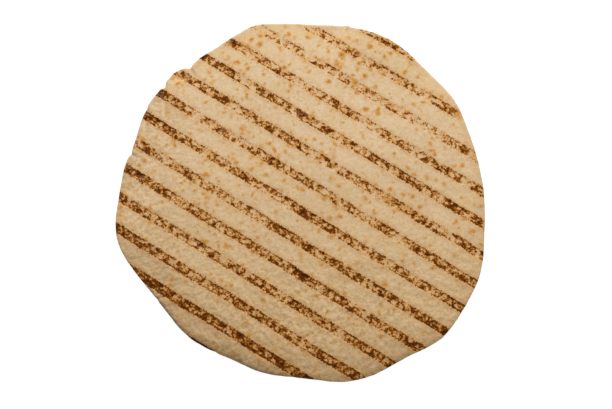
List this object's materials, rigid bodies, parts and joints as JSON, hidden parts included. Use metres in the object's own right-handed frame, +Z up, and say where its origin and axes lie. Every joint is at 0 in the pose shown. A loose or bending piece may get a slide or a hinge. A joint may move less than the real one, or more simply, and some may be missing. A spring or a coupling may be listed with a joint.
{
  "type": "grilled lavash flatbread",
  "caption": "Round, thin, soft lavash flatbread with a thinned uneven rim and slanting grill marks, lying flat, for wrapping or tearing.",
  "frame": {"origin": "on the flat underside, below the middle of the bread's box", "axes": "+Z up, out of the grill-marked upper face; -Y is the side nearest the viewer in the picture"},
  "size_m": [0.251, 0.2482, 0.0039],
  "materials": {
    "crust": "matte"
  },
  "bodies": {
    "root": {"lavash": "crust"}
  },
  "joints": []
}
